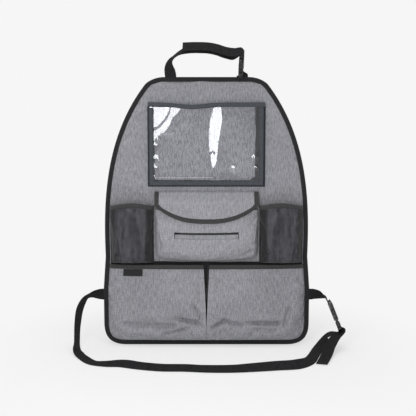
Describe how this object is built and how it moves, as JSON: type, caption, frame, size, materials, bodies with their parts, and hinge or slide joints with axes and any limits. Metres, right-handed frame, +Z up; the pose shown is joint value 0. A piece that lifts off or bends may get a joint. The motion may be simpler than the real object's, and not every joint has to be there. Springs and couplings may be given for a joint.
{
  "type": "car seat back organizer",
  "caption": "Padded fabric panel for the rear of a car seat, with a clear tablet pocket, a flapped tissue pocket, mesh bottle pockets, lower pockets and buckled straps.",
  "frame": {"origin": "centre of the rear face, which lies against the seat back", "axes": "+Z up along the panel, +X to the right seen from the front, +Y out of the rear face towards the seat; the pockets face -Y"},
  "size_m": [0.6098, 0.2232, 0.6875],
  "materials": {
    "heather_cloth": "matt melange polyester",
    "light_heather_cloth": "matt melange polyester",
    "felt_lining": "matt needled felt",
    "binding_tape": "ribbed woven tape",
    "black_cloth": "plain woven",
    "mesh": "knitted mesh",
    "clear_film": "glossy soft film",
    "webbing": "woven webbing",
    "buckle_plastic": "moulded acetal",
    "label_tape": "smooth satin tape",
    "hook_and_loop": "hook and loop tape"
  },
  "bodies": {
    "root": {"front_panel": "heather_cloth", "back_lining": "felt_lining", "edge_binding": "binding_tape", "tablet_window": "clear_film", "tablet_gusset": "black_cloth", "tablet_side_binding": "binding_tape", "tablet_top_binding": "binding_tape", "tissue_pocket": "light_heather_cloth", "pocket_flap": "light_heather_cloth", "flap_binding": "binding_tape", "loop_tape": "hook_and_loop", "hook_tape": "hook_and_loop", "left_lower_pocket": "heather_cloth", "left_lower_binding": "binding_tape", "left_centre_gusset": "black_cloth", "left_mesh_pocket": "mesh", "left_mesh_binding": "binding_tape", "right_lower_pocket": "heather_cloth", "right_lower_binding": "binding_tape", "right_centre_gusset": "black_cloth", "right_mesh_pocket": "mesh", "right_mesh_binding": "binding_tape", "label_loop": "label_tape", "headrest_strap": "webbing", "headrest_tab": "webbing", "headrest_socket": "buckle_plastic", "headrest_plug": "buckle_plastic", "waist_strap": "webbing", "waist_tab": "webbing", "waist_socket": "buckle_plastic", "waist_plug": "buckle_plastic"}
  },
  "joints": []
}
